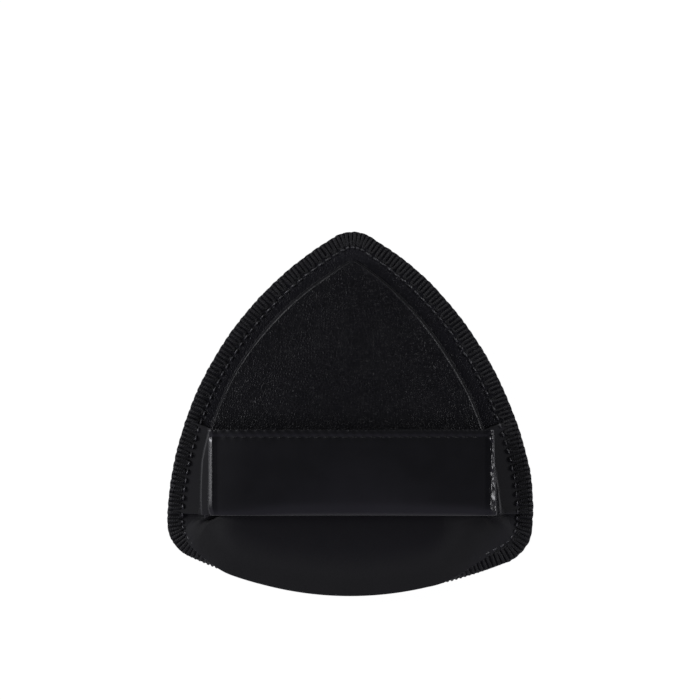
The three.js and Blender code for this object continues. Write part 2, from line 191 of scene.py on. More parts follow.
# At shares of the strap's width: the left crease comes in, and the left bevel drops less
CREASE_STEP, CREASE_STEP_SHARES = 0.4, (0, 0.1)
BEVEL_LOSS, BEVEL_LOSS_SHARES = 0.65, (0.84, 0.96)
LANDING_ROOM = 0.25  # at least this far in from the shoulder
TAIL_THICKNESS = 0.34
TAIL_SINK = 0.36
TAIL_SETBACK = 0.5
TAIL_CLEARANCE = 0.05  # between the pad and the strap's end
TAIL_HEIGHTS = (6.6, 10.3)  # the strap thickens from its sewn end to its full self
HEM_PITCH = 1.75
HEM_INSET = 1.4
HEM_RADII = (0.15, 0.12)
HEM_STITCHES = 14  # on each half
HEM_LEAN = 0.03  # standard deviation
TUBE_SIDES = 8

# The number of stations round each piece, and the insets where it halves
COVER_COLUMNS, COVER_COARSER = 640, (7.5, 13, 19, 23)
VELOUR_COLUMNS, VELOUR_COARSER = 320, (13, 19, 23)
FOAM_COLUMNS, FOAM_COARSER = 160, (13, 19)
INNER_RINGS = 4
COVER_STEP, VELOUR_STEP, FOAM_STEP, STRAP_STEP = 0.5, 0.6, 0.8, 0.45  # along the profiles


# Looks. Colours are linear, and a reach is what a texture's values are stretched over

CLOUD_REACH, PATCH_REACH = (0.3, 0.7), (0.35, 0.65)

GRAIN_SIZE, GRAIN_DEPTH = 0.48, 0.037
GRAIN_EDGE = 0.35  # the width of the slope round each pebble
GRAIN_WANDER, GRAIN_SHIFT = 0.9, 0.3  # over what length, and how far, the pebbles are shifted
SMOOTH_GRAIN = 0.12  # what is left of the grain along the lower side
GRAIN_Y = (-19.5, -15.5)  # where the full grain comes in
LEATHER_FINE_SIZE, LEATHER_FINE_DEPTH = 0.16, 0.012
LEATHER_CLOUD_SIZE, LEATHER_CLOUDS = 3.5, 0.015
LEATHER_COLOURS = ((0.0009, 0.0009, 0.0012), (0.0026, 0.0026, 0.0034))
LEATHER_ROUGHNESS = (0.42, 0.31)  # where it is smooth, and where it is grained
LEATHER_SHINE = 0.29
# Painted light: a lighter, bluish colour is added on the flange below these heights. It stands in
# for light that the pad's shade keeps off it
FLANGE_PAINTED_LIGHT_COLOUR, FLANGE_PAINTED_LIGHT_Z = (0.0034, 0.0034, 0.0043), (6.2, 7.5)
SLOPE_ROUGHNESS, SLOPE_Z, OVER_FLANGE_Z = 0.34, (7.8, 9.2), (6.2, 6.8)

SATIN_FINE_SIZE, SATIN_FINE_DEPTH = 0.22, 0.003
CRUSH_SIZE, CRUSH_DEPTH = 1.6, 0.0015
SATIN_CLOUD_SIZE = 4.0
SATIN_COLOURS = ((0.0027, 0.0027, 0.0034), (0.0031, 0.0031, 0.0039))
SATIN_ROUGHNESS, SATIN_SHINE = (0.3, 0.315), 0.42
TAIL_ROUGHNESS, TAIL_TONE_Z = 0.35, (10.2, 11.2)
BEVEL_ROUGHNESS, BEVEL_X = -0.075, (25.4, 26.1)

PLIES, PLY_PITCH, PLY_DEPTH = 2, 0.42, 0.02
FUZZ_SIZE, FUZZ_DEPTH = 0.09, 0.02
THREAD_PATCH_SIZE = 0.6
# Darkest and lightest colour, roughness and shine
LOOPER_LOOK = ((0.003, 0.003, 0.0034), (0.0085, 0.0085, 0.0092), (0.5, 0.7), 0.2)
NEEDLE_LOOK = ((0.012, 0.012, 0.013), (0.03, 0.03, 0.033), (0.32, 0.46), 0.5)

FIBRE_SIZE, FIBRE_DEPTH = 0.2, 0.16
TUFT_SIZE, TUFT_DEPTH = 2.6, 0.5
FIBRE_TONE, TUFT_TONE, VELOUR_TONE_REACH = 0.6, 0.4, (0.38, 0.62)
VELOUR_COLOURS = ((0.002, 0.002, 0.0024), (0.0095, 0.0095, 0.0108))
VELOUR_SHINE = 0.15
SHEEN = {"Weight": 0.5, "Roughness": 0.4, "Tint": (0.3, 0.3, 0.33, 1)}

PORE_SIZE, PORE_DEPTH = 0.5, 0.2
FOAM_COLOURS = ((0.005, 0.005, 0.006), (0.015, 0.015, 0.016))
FOAM_SHINE = 0.5


# Small tools


def mm(*lengths):
    """Millimetres as metres."""
    return tuple(round(length * MM, 9) for length in lengths)


def mix(a, b, share):
    return a + (b - a) * share


def smooth(value, low, high):
    share = np.clip((value - low) / (high - low), 0, 1)
    return share * share * (3 - 2 * share)


def unit(vectors):
    return vectors / np.maximum(np.linalg.norm(vectors, axis=-1, keepdims=True), 1e-12)


def waves(x, y, length, seed, count=12):
    """A smooth random field of about this wavelength, from -1 to 1 or so."""
    random = np.random.default_rng(seed)
    total = 0
    for _ in range(count):
        turn = random.uniform(0, 2 * math.pi)
        rate = 2 * math.pi / (length * random.uniform(0.7, 1.5))
        phase = random.uniform(0, 2 * math.pi)
        total = total + np.sin(rate * (x * math.cos(turn) + y * math.sin(turn)) + phase)
    return total / math.sqrt(count)


# The outline


def circle_through(a, b, radius):
    half = (b - a) / 2
    rise = math.sqrt(radius**2 - half @ half) / np.linalg.norm(half)
    return a + half + rise * np.array([-half[1], half[0]])


LEFT = np.array([-CORNER_SPAN / 2, 0.0])
RIGHT = np.array([CORNER_SPAN / 2, 0.0])
POINT = np.array([POINT_SHIFT, POINT_HEIGHT])
SIDES = [
    (circle_through(LEFT, RIGHT, LOWER_SIDE_RADIUS), LOWER_SIDE_RADIUS),
    (circle_through(RIGHT, POINT, RIGHT_SIDE_RADIUS), RIGHT_SIDE_RADIUS),
    (circle_through(POINT, LEFT, LEFT_SIDE_RADIUS), LEFT_SIDE_RADIUS),
]
CORNERS = [
    (RIGHT, RIGHT_CORNER_ROUNDING),
    (POINT, POINT_ROUNDING),
    (LEFT, LEFT_CORNER_ROUNDING),
]
RIGHT_ROUNDING, LEFT_SIDE = 1, 4  # numbers of arcs, with the roundings between the sides


def crossing(centre_a, radius_a, centre_b, radius_b, near):
    """Where two circles cross, nearest to a point. The radii are arrays."""
    distance = np.linalg.norm(centre_b - centre_a)
    way = (centre_b - centre_a) / distance
    along = (radius_a**2 - radius_b**2 + distance**2) / (2 * distance)
    across = np.sqrt(radius_a**2 - along**2)
    square = np.array([-way[1], way[0]])
    found = [
        centre_a + along[:, None] * way + side * across[:, None] * square
        for side in (1, -1)
    ]
    far = [np.linalg.norm(at - near, axis=1) for at in found]
    return np.where((far[0] < far[1])[:, None], found[0], found[1])


def outline_arcs(inset):
    """Centres, radii, first angles and sweeps of the outline's six arcs at each inset."""
    rounds = []
    for i, (at, rounding) in enumerate(CORNERS):
        radius = np.maximum(rounding - inset, TIGHTEST_ROUNDING)
        before, after = SIDES[i], SIDES[(i + 1) % 3]
        centre = crossing(
            before[0], before[1] - inset - radius, after[0], after[1] - inset - radius, at
        )
        rounds.append((centre, radius))
    arcs = []
    for i, (centre, radius) in enumerate(SIDES):
        start, end, following = rounds[i - 1], rounds[i], SIDES[(i + 1) % 3]
        begins, leaves = (
            np.arctan2(*(to - centre).T[::-1]) for to in (start[0], end[0])
        )
        ends = np.arctan2(*(end[0] - following[0]).T[::-1])
        middle = np.broadcast_to(centre, start[0].shape)
        arcs.append((middle, radius - inset, begins, leaves))
        arcs.append((end[0], end[1], leaves, ends))
    centres, radii, first, last = (np.stack(part, 1) for part in zip(*arcs))
    return centres, radii, first, (last - first) % (2 * math.pi)


def points_at(arc, share, inset):
    """Points of the outline at an inset, before it is centred."""
    centres, radii, first, sweep = outline_arcs(inset)
    row = np.arange(len(arc))
    angle = first[row, arc] + sweep[row, arc] * share
    around = np.stack([np.cos(angle), np.sin(angle)], 1)
    return centres[row, arc] + radii[row, arc][:, None] * around


_, edge_radii, _, edge_sweeps = outline_arcs(np.zeros(1))
ARC_LENGTHS = (edge_radii * edge_sweeps)[0]
ARC_STARTS = np.concatenate([[0], np.cumsum(ARC_LENGTHS)])
PERIMETER = ARC_STARTS[-1]


def stations(lengths):
    """The arc, and the share of the way along it, at each length round the outline."""
    lengths = np.asarray(lengths, float) % PERIMETER
    arc = np.clip(np.searchsorted(ARC_STARTS, lengths, side="right") - 1, 0, 5)
    return arc, (lengths - ARC_STARTS[arc]) / ARC_LENGTHS[arc]


def length_at(station):
    arc, share = station
    return ARC_STARTS[arc] + ARC_LENGTHS[arc] * share


def lengths_round(count):
    """Evenly spread lengths round the outline."""
    return np.arange(count) * PERIMETER / count


ROUND = stations(lengths_round(4000))
ROUND_POINTS = points_at(*ROUND, np.zeros(len(ROUND[0])))
MIDDLE = (ROUND_POINTS.min(0) + ROUND_POINTS.max(0)) / 2
LOWEST = ROUND_POINTS[:, 1].min() - MIDDLE[1]


def pair(inset, height):
    """Points of a profile from insets and heights."""
    return np.stack(np.broadcast_arrays(inset, height), -1)


def place(station, profile):
    """Points in space for a profile of rings by stations."""
    inset, height = profile[..., 0], profile[..., 1]
    drift = around_at(station, EDGE_DRIFTS) * (1 - smooth(inset, *DRIFT_INSETS))
    inset = inset - drift
    arc, share = (np.broadcast_to(part, inset.shape).ravel() for part in station)
    flat = points_at(arc, share, inset.ravel()) - MIDDLE
    return np.concatenate([flat, height.reshape(-1, 1)], 1).reshape(*inset.shape, 3)


def curl_at(station):
    """How far the flange is curled down, from 0 to 1."""
    length = length_at(station)
    # The left side's last part counts as just before the lower side
    length = np.where(length > PERIMETER * 0.75, length - PERIMETER, length)
    return smooth(length, *CURL_DOWN) * (1 - smooth(length, *CURL_UP))


def softness_at(station, band=SOFT_BAND):
    """How far the pad's crisp shoulder has given way to a soft slope, from 0 to 1."""
    arc, share = station
    y = points_at(arc, share, np.zeros(len(arc)))[:, 1] - MIDDLE[1]
    return 1 - smooth(y, *band)


def around_at(station, table):
    """A measure that changes round the outline, from a table of places and values."""
    at, values = np.array(table, float).T
    at = length_at((at.astype(int), at % 1))
    around = np.concatenate([at - PERIMETER, at, at + PERIMETER])
    return np.interp(length_at(station), around, np.tile(values, 3))


# Profiles run from the middle outwards: an array of rings by stations by inset and height


def flange_point(curl, along, depth):
    """A point of the flange: along it from its edge, and this deep under its upper face."""
    angle = curl * CURL_ANGLE
    edge = mix(FLANGE_HEIGHT, CURLED_EDGE_HEIGHT, curl)
    start = FABRIC_INSET * np.cos(angle) + THREAD_STAND * np.sin(angle) + FOLD_COVER * curl**2
    inset = start + along * np.cos(angle) + depth * np.sin(angle)
    return pair(inset, edge + along * np.sin(angle) - depth * np.cos(angle))


def crown_points(station, shares):
    curl, share = curl_at(station), shares[:, None]
    soft = softness_at(station, SOFT_RIM_BAND) * (1 - curl)
    rim = around_at(station, SHOULDER_INSETS) + around_at(station, SHOULDER_ROUNDINGS)
    rim = rim + SOFT_RIM * soft
    inset = mix(rim, MIDDLE_INSET, share)
    rise = CROWN_RISE * (1 - (1 - share) ** 2)
    fall = curl[None] * CURLED_FALL * (1 - share) ** CURLED_FALL_POWER
    height = PAD_HEIGHT - CROWN_RISE + rise - fall
    return pair(inset, height)


def rounded(corners, roundings, points=7, hold=0):
    """A profile through corners that are rounded off over these lengths.

    With a hold, the flat stretches get a point this far from each rounding."""
    out = [corners[0]]
    stops = zip(corners[:-2], corners[1:-1], corners[2:], roundings)
    for before, corner, after, rounding in stops:
        reach = np.broadcast_to(rounding, corner.shape[:-1])[..., None]
        back, on = unit(before - corner), unit(after - corner)
        a, b = corner + reach * back, corner + reach * on
        shares = np.linspace(0, 1, points)
        bend = [mix(mix(a, corner, share), mix(corner, b, share), share) for share in shares]
        out += [a + hold * back, *bend, b + hold * on] if hold else bend
    return np.stack([*out, corners[-1]])


def refined(profile, step):
    """The profile with points added on its long stretches."""
    out = [profile[:1]]
    for a, b in zip(profile[:-1], profile[1:]):
        length = np.linalg.norm(b - a, axis=-1).max()
        shares = np.arange(1, max(2, math.ceil(length / step) + 1))
        out.append(mix(a, b, (shares / shares[-1])[:, None, None]))
    return np.concatenate(out)


def cover_corners(station):
    """The corners of the cover's side: the crown's edge, shoulder, foot and flange edge."""
    curl, soft = curl_at(station), softness_at(station)[:, None]
    curled = curl[:, None]
    shoulder = around_at(station, SHOULDER_INSETS)
    crisp_shoulder = pair(shoulder, PAD_HEIGHT - CROWN_RISE)
    soft_shoulder = pair(shoulder + SOFT_SHOULDER[0], SOFT_SHOULDER[1])
    crisp_foot = pair(shoulder - WALL_BATTER, FLANGE_HEIGHT)
    return [
        crown_points(station, np.zeros(1))[0],
        mix(mix(crisp_shoulder, soft_shoulder, soft), np.array(CURLED_SHOULDER), curled),
        mix(mix(crisp_foot, np.array(SOFT_FOOT), soft), np.array(CURLED_FOOT), curled),
        flange_point(curl, 0, 0),
    ]


def cover_roundings(station):
    curl, soft = curl_at(station), softness_at(station)
    crisp_ones = (around_at(station, SHOULDER_ROUNDINGS), GROOVE_ROUNDING)
    return [
        mix(mix(crisp, softened, soft**0.5), curled, curl)
        for crisp, softened, curled in zip(crisp_ones, SOFT_ROUNDING, CURLED_ROUNDING)
    ]


MITRE_LIMIT = 0.7  # keeps sharp corners from moving too far


def moved(profile, distance):
    """A profile moved square to itself; above zero is up and out."""
    ways = unit(np.diff(profile, axis=0))
    squares = np.stack([-ways[..., 1], ways[..., 0]], -1)
    before = np.concatenate([squares[:1], squares])
    after = np.concatenate([squares, squares[-1:]])
    square = unit(before + after)
    reach = distance / np.maximum((square * before).sum(-1, keepdims=True), MITRE_LIMIT)
    return profile - square * reach


# Meshes


def new_object(name, data):
    made = bpy.data.objects.new(name, data)
    bpy.context.scene.collection.objects.link(made)
    return made


def mesh_piece(name, points, faces, material, uv=None, sharp=55):
    """An object from points in millimetres and faces, with a uv for each face corner."""
    mesh = bpy.data.meshes.new(name)
    sizes = np.array([len(face) for face in faces])
    loops = np.concatenate([np.asarray(face) for face in faces]).astype(np.int32)
    mesh.vertices.add(len(points))
    mesh.vertices.foreach_set("co", (np.asarray(points) * MM).astype(np.float32).ravel())
    mesh.loops.add(len(loops))
    mesh.loops.foreach_set("vertex_index", loops)
    mesh.polygons.add(len(sizes))
    mesh.polygons.foreach_set("loop_start", np.concatenate([[0], np.cumsum(sizes)[:-1]]))
    mesh.update(calc_edges=True)
    if uv is not None:
        layer = mesh.uv_layers.new(name="millimetres")
        layer.uv.foreach_set("vector", np.concatenate(uv).astype(np.float32).ravel())
    mesh.polygons.foreach_set("use_smooth", np.ones(len(sizes), bool))
    mesh.set_sharp_from_angle(angle=math.radians(sharp))
    mesh.validate()
    mesh.materials.append(material)
    return new_object(name, mesh)


def tube(path, up, radii, closed=False):
    """Points, faces and uv of a tube with an elliptical section along a path."""
    rows, sides = len(path), TUBE_SIDES
    if closed:
        ways = unit(np.roll(path, -1, 0) - np.roll(path, 1, 0))
    else:
        ways = unit(np.gradient(path, axis=0))
    across = unit(np.cross(up, ways))
    through = np.cross(ways, across)
    angle = np.linspace(0, 2 * math.pi, sides, endpoint=False)
    points = (
        path[:, None]
        + across[:, None] * (radii[0] * np.cos(angle))[None, :, None]
        + through[:, None] * (radii[1] * np.sin(angle))[None, :, None]
    )
    row, side = divmod(np.arange((rows if closed else rows - 1) * sides), sides)
    corners = [(row, side), (row + 1, side), (row + 1, side + 1), (row, side + 1)]
    faces = np.stack([(r % rows) * sides + s % sides for r, s in corners], 1)
    lengths = np.linalg.norm(np.roll(path, -1, 0) - path, axis=1)
    along = np.concatenate([[0], np.cumsum(lengths)])
    uv = np.stack([np.stack([along[r], s / sides], -1) for r, s in corners], 1)
    faces, uv = list(faces), list(uv)
    if not closed:
        faces += [np.arange(sides), (rows - 1) * sides + np.arange(sides)[::-1]]
        uv += [np.zeros((sides, 2)), np.zeros((sides, 2))]
    return points.reshape(-1, 3), faces, uv


def smooth_path(keys, steps):
    """A closed Catmull-Rom curve through the keys."""
    keys, before, after, next_after = (np.roll(keys, -i, 0)[:, None] for i in (0, -1, 1, 2))
    t = (np.arange(steps) / steps)[:, None]
    path = 0.5 * (
        2 * keys
        + (after - before) * t
        + (2 * before - 5 * keys + 4 * after - next_after) * t**2
        + (3 * keys - before - 3 * after + next_after) * t**3
    )
    return path.reshape(-1, path.shape[-1])


def ring_faces(rings, start=0, down=False):
    """Faces between closed rings that follow each other inwards, and a cap on the last.

    A ring may have half the points of the one before it."""
    faces = []
    for outer, inner in zip(rings[:-1], rings[1:]):
        a = start + np.arange(len(outer))
        b = start + len(outer) + np.arange(len(inner))
        if len(a) == len(b):
            faces += list(np.stack([a, np.roll(a, -1), np.roll(b, -1), b], 1))
        else:
            first, second, third = a[::2], a[1::2], np.roll(a, -2)[::2]
            faces += list(np.stack([first, second, b], 1))
            faces += list(np.stack([second, third, np.roll(b, -1), b], 1))
        start += len(outer)
    faces.append(start + np.arange(len(rings[-1])))
    return [face[::-1] for face in faces] if down else faces


def rings_of(station, profile, coarser):
    """Rings of points, with fewer stations past each of these insets, and a filled middle."""
    rings, points = [], place(station, profile)
    for ring, inset in zip(points, profile[:, 0, 0]):
        rings.append(ring[:: 2 ** sum(inset > limit for limit in coarser)])
    last = rings[-1]
    shares = np.linspace(0, 1, INNER_RINGS + 2)[1:-1]
    return rings + [mix(last, last.mean(0), share) for share in shares]


def shell(name, upper, lower, material):
    """A closed shell from the rings of its upper and lower side, both from the edge inwards."""
    start = sum(len(ring) for ring in upper)
    faces = ring_faces(upper) + ring_faces(lower, start, down=True)
    a = np.arange(len(upper[0]))
    b = start + a
    faces += list(np.stack([b, np.roll(b, -1), np.roll(a, -1), a], 1))
    return mesh_piece(name, np.concatenate(upper + lower), faces, material)


# Materials


def new_material(name):
    """A material, its tree, its surface, and the place on the object in metres."""
    material = bpy.data.materials.new(name)
    material.use_nodes = True
    tree = material.node_tree
    return material, tree, tree.nodes["Principled BSDF"], source(tree, "TexCoord", "Object")


def node(tree, kind, inputs, **settings):
    """A shader node's first output, with its inputs linked or set."""
    made = tree.nodes.new("ShaderNode" + kind)
    for key, value in settings.items():
        setattr(made, key, value)
    for key, value in inputs.items():
        if isinstance(value, bpy.types.NodeSocket):
            tree.links.new(value, made.inputs[key])
        else:
            made.inputs[key].default_value = value
    return made.outputs[0]


def maths(tree, operation, a, b=0.0):
    return node(tree, "Math", {0: a, 1: b}, operation=operation)


def ranged(tree, value, reach, to):
    """The value's run over this reach, turned smoothly into a run between two others."""
    settings = dict(enumerate((value, *reach, *to)))
    return node(tree, "MapRange", settings, interpolation_type="SMOOTHSTEP")


def source(tree, kind, output):
    """A named output of a new node without inputs."""
    return tree.nodes.new("ShaderNode" + kind).outputs[output]


def noise(tree, place_at, size_mm, detail=2.0):
    settings = {"Vector": place_at, "Scale": 1 / (size_mm * MM), "Detail": detail}
    return node(tree, "TexNoise", settings)


def cells(tree, place_at, size_mm, feature="F1"):
    settings = {"Vector": place_at, "Scale": 1 / (size_mm * MM)}
    return node(tree, "TexVoronoi", settings, feature=feature)


def split(tree, vector):
    made = tree.nodes.new("ShaderNodeSeparateXYZ")
    tree.links.new(vector, made.inputs[0])
    return tuple(made.outputs)


def bump(tree, height, depth_mm, normal=None):
    """A bump, on top of another one where that one's normal is given."""
    settings = {"Height": height, "Strength": 1.0, "Distance": depth_mm * MM}
    if normal is not None:
        settings["Normal"] = normal
    return node(tree, "Bump", settings)


def colours(tree, share, dark, light):
    """A colour between two, by a share that a socket gives."""
    made = tree.nodes.new("ShaderNodeMix")
    made.data_type = "RGBA"
    factor, a, b = (made.inputs[i] for i in (0, 6, 7))
    tree.links.new(share, factor)
    a.default_value, b.default_value = (*dark, 1), (*light, 1)
    return made.outputs[2]


def added(tree, a, b):
    return node(tree, "VectorMath", {0: a, 1: b}, operation="ADD")


def looks(tree, surface, normal, base, rough, shine):
    """Sets a surface's looks. The roughness is a socket or a number."""
    tree.links.new(normal, surface.inputs["Normal"])
    tree.links.new(base, surface.inputs["Base Color"])
    if isinstance(rough, bpy.types.NodeSocket):
        tree.links.new(rough, surface.inputs["Roughness"])
    else:
        surface.inputs["Roughness"].default_value = rough
    surface.inputs["Specular IOR Level"].default_value = shine


def leathercloth_material():
    material, tree, surface, place_at = new_material("leathercloth")
    wander = noise(tree, place_at, GRAIN_WANDER)
    settings = {0: wander, 1: mm(GRAIN_SHIFT, GRAIN_SHIFT, GRAIN_SHIFT), 2: place_at}
    shifted = node(tree, "VectorMath", settings, operation="MULTIPLY_ADD")
    pebbles = cells(tree, shifted, GRAIN_SIZE, "DISTANCE_TO_EDGE")
    pebbles = ranged(tree, pebbles, (0.0, GRAIN_EDGE), (0.0, 1.0))
    _, y, z = split(tree, place_at)
    grainy = ranged(tree, y, mm(*GRAIN_Y), (SMOOTH_GRAIN, 1.0))
    first = bump(tree, maths(tree, "MULTIPLY", pebbles, grainy), GRAIN_DEPTH)
    fine = noise(tree, place_at, LEATHER_FINE_SIZE, detail=3.0)
    normal = bump(tree, fine, LEATHER_FINE_DEPTH, first)
    tone = maths(tree, "MULTIPLY", cells(tree, shifted, GRAIN_SIZE), grainy)
    # Painted light on the flange: a lighter colour is added below the pad's shoulder, in place of
    # light that the pad's shade keeps off it
    on_flange = ranged(tree, z, mm(*FLANGE_PAINTED_LIGHT_Z), (1.0, 0.0))
    flange_painted_light = colours(tree, on_flange, (0, 0, 0), FLANGE_PAINTED_LIGHT_COLOUR)
    base = added(tree, colours(tree, tone, *LEATHER_COLOURS), flange_painted_light)
    clouds = noise(tree, place_at, LEATHER_CLOUD_SIZE)
    cloudy = ranged(tree, clouds, CLOUD_REACH, (-LEATHER_CLOUDS, LEATHER_CLOUDS))
    rough = ranged(tree, grainy, (SMOOTH_GRAIN, 1.0), LEATHER_ROUGHNESS)
    # The slopes are rougher, and so is the flange where the leathercloth is smooth
    on_slope = ranged(tree, z, mm(*SLOPE_Z), (SLOPE_ROUGHNESS, 0.0))
    over_flange = ranged(tree, z, mm(*OVER_FLANGE_Z), (0.0, 1.0))
    in_smooth = ranged(tree, grainy, (SMOOTH_GRAIN, 1.0), (1.0, 0.0))
    slopes = maths(tree, "MAXIMUM", over_flange, in_smooth)
    rough = maths(tree, "ADD", rough, maths(tree, "MULTIPLY", on_slope, slopes))
    looks(tree, surface, normal, base, maths(tree, "ADD", rough, cloudy), LEATHER_SHINE)
    return material


def satin_material():
    material, tree, surface, place_at = new_material("satin")
    first = bump(tree, noise(tree, place_at, CRUSH_SIZE, detail=3.0), CRUSH_DEPTH)
    fine = noise(tree, place_at, SATIN_FINE_SIZE, detail=4.0)
    normal = bump(tree, fine, SATIN_FINE_DEPTH, first)
    clouds = noise(tree, place_at, SATIN_CLOUD_SIZE)
    base = colours(tree, ranged(tree, clouds, CLOUD_REACH, (0, 1)), *SATIN_COLOURS)
    x, _, z = split(tree, place_at)
    rough = ranged(tree, clouds, CLOUD_REACH, SATIN_ROUGHNESS)
    # The sewn ends are duller, and the bevels at the strap's ends are glossier
    on_tails = ranged(tree, z, mm(*TAIL_TONE_Z), (TAIL_ROUGHNESS, 0.0))
    on_bevels = ranged(tree, maths(tree, "ABSOLUTE", x), mm(*BEVEL_X), (0.0, BEVEL_ROUGHNESS))
    rough = maths(tree, "ADD", maths(tree, "ADD", rough, on_tails), on_bevels)
    looks(tree, surface, normal, base, rough, SATIN_SHINE)
    return material


def thread_material(name, dark, light, roughness, shine):
    """A plied thread, from its uv: millimetres along it and shares of a turn round it."""
    material, tree, surface, place_at = new_material(name)
    x, y, _ = split(tree, source(tree, "UVMap", 0))
    along = maths(tree, "MULTIPLY", x, 2 * math.pi / PLY_PITCH)
    around = maths(tree, "MULTIPLY", y, 2 * math.pi * PLIES)
    ply = maths(tree, "SINE", maths(tree, "ADD", along, around))
    fuzz = noise(tree, place_at, FUZZ_SIZE, detail=3.0)
    normal = bump(tree, fuzz, FUZZ_DEPTH, bump(tree, ply, PLY_DEPTH))
    patchy = ranged(tree, noise(tree, place_at, THREAD_PATCH_SIZE), PATCH_REACH, (0.0, 1.0))
    base = colours(tree, patchy, dark, light)
    looks(tree, surface, normal, base, ranged(tree, fuzz, CLOUD_REACH, roughness), shine)
    return material


def velour_material():
    material, tree, surface, place_at = new_material("velour")
    fibres = noise(tree, place_at, FIBRE_SIZE, detail=3.0)
    tufts = noise(tree, place_at, TUFT_SIZE, detail=3.0)
    normal = bump(tree, fibres, FIBRE_DEPTH, bump(tree, tufts, TUFT_DEPTH))
    fibre_tone = maths(tree, "MULTIPLY", fibres, FIBRE_TONE)
    tone = maths(tree, "ADD", fibre_tone, maths(tree, "MULTIPLY", tufts, TUFT_TONE))
    base = colours(tree, ranged(tree, tone, VELOUR_TONE_REACH, (0.0, 1.0)), *VELOUR_COLOURS)
    looks(tree, surface, normal, base, 1.0, VELOUR_SHINE)
    for key, value in SHEEN.items():
        surface.inputs["Sheen " + key].default_value = value
    return material


def foam_material():
    material, tree, surface, place_at = new_material("foam")
    pores = cells(tree, place_at, PORE_SIZE)
    base = colours(tree, pores, *FOAM_COLOURS)
    looks(tree, surface, bump(tree, pores, PORE_DEPTH), base, 1.0, FOAM_SHINE)
    return material


LEATHERCLOTH = leathercloth_material()
SATIN = satin_material()
LOOPER = thread_material("looper_thread", *LOOPER_LOOK)
NEEDLE = thread_material("needle_thread", *NEEDLE_LOOK)
VELOUR = velour_material()
FOAM = foam_material()


# The cover

cover_lengths = lengths_round(COVER_COLUMNS)
cover_stations = stations(cover_lengths)
CROWN_SHARES = np.linspace(1, 0, 30)[:-1] ** 1.35


def cover_profile(station, depth):
    """The cover's profile at a depth, from the middle outwards."""
    curl = curl_at(station)
    band_end = mix(FLAT_BANDS[0], SOFT_FLANGE_END, softness_at(station))
    band_end = mix(band_end, FLAT_BANDS[1], curl)
    ends = [flange_point(curl, band_end, 0), flange_point(curl, -SEAM_OVERHANG, 0)]
    corners = np.stack(cover_corners(station)[:3] + ends)
    roundings = cover_roundings(station)
    if depth:
        corners = moved(corners, -depth)
        change = depth * INNER_ROUNDING
        shoulder = np.maximum(roundings[0] - change, LEAST_ROUNDING)
        roundings = [shoulder, roundings[1] + change]
    room = np.linalg.norm(corners[3] - corners[2], axis=-1)
    roundings[1] = np.minimum(roundings[1], ROUNDING_ROOM * room)
    side = np.concatenate([rounded(corners[:4], roundings), corners[4:]])
    crown = crown_points(station, CROWN_SHARES) - np.array([0, depth])
    return np.concatenate([crown, refined(side, COVER_STEP)])


def pad_wrinkles(points):
    """How far the pad's soft surface rises at each point, most at its right."""
    x, y = points[..., 0], points[..., 1]
    rise = sum(height * waves(x, y, length, seed) for height, length, seed in PAD_WAVES)
    across = x * math.sin(WRINKLE_TURN) + y * math.cos(WRINKLE_TURN)
    apart = (points[..., :2] - WRINKLE_MIDDLE) / WRINKLE_REACH
    near = np.exp(-(apart[..., 0] ** 2) - apart[..., 1] ** 2)
    phase = across * 2 * math.pi / WRINKLE_PITCH + 1.2 * waves(x, y, 9, 5)
    return rise + WRINKLE_HEIGHT * near * np.sin(phase)


def cover_rings(depth):
    profile = cover_profile(cover_stations, depth)[::-1]
    inset = profile[..., 0]
    on_pad = smooth(inset, SHOULDER_INSET - 0.3, SHOULDER_INSET + 4)
    deepest, half_width = NEEDLE_DENT
    near = np.exp(-(((inset - FABRIC_INSET - NEEDLE_LINE) / half_width) ** 2))
    near = near * (1 - curl_at(cover_stations))
    phase = cover_lengths / (PERIMETER / STITCHES)
    dent = deepest * near * (0.5 + 0.5 * np.cos(2 * math.pi * phase))[None]
    rise = pad_wrinkles(place(cover_stations, profile)) * on_pad - dent
    profile[..., 1] += rise
    return rings_of(cover_stations, profile, COVER_COARSER)


cover = shell("cover_shell", cover_rings(0.0), cover_rings(COVER_THICKNESS), LEATHERCLOTH)


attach(cover, "puff")
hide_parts("back_cover")

# The velour face

velour_stations = stations(lengths_round(VELOUR_COLUMNS))


def velour_rings(thickness):
    """The velour's rings at its root, or at its pile's tips where the thickness is zero."""
    curl = curl_at(velour_stations)
    level = 0 * curl
    root = flange_point(curl, FLANGE_WIDTH, SEAM_DEPTH)
    face = pair(FACE_CORNER_INSET, level)
    bulge = mix(face, root, BULGE_SHARE) - np.array([SIDE_BULGE, 0])
    flat = pair(FACE_CORNER_INSET + FACE_FLAT, level)
    corners = np.stack([flat, face, bulge, root, flange_point(curl, -SEAM_OVERHANG, SEAM_DEPTH)])
    roundings = TIP_ROUNDINGS
    if thickness:
        amounts = np.array(VELOUR_SHARES)[:, None, None] * thickness
        corners = moved(corners, amounts)
        roundings = ROOT_ROUNDINGS
    side = refined(rounded(corners, roundings, 8), VELOUR_STEP)
    insets = np.linspace(MIDDLE_INSET, FACE_CORNER_INSET + 4.2, 16)
    profile = np.concatenate([pair(insets[:, None], thickness + level), side])[::-1]
    return rings_of(velour_stations, profile, VELOUR_COARSER)


velour = shell("velour_pad", velour_rings(VELOUR_THICKNESS), velour_rings(0.0), VELOUR)
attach(velour, "puff")
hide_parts("velour_face")

# The foam core

foam_stations = stations(lengths_round(FOAM_COLUMNS))


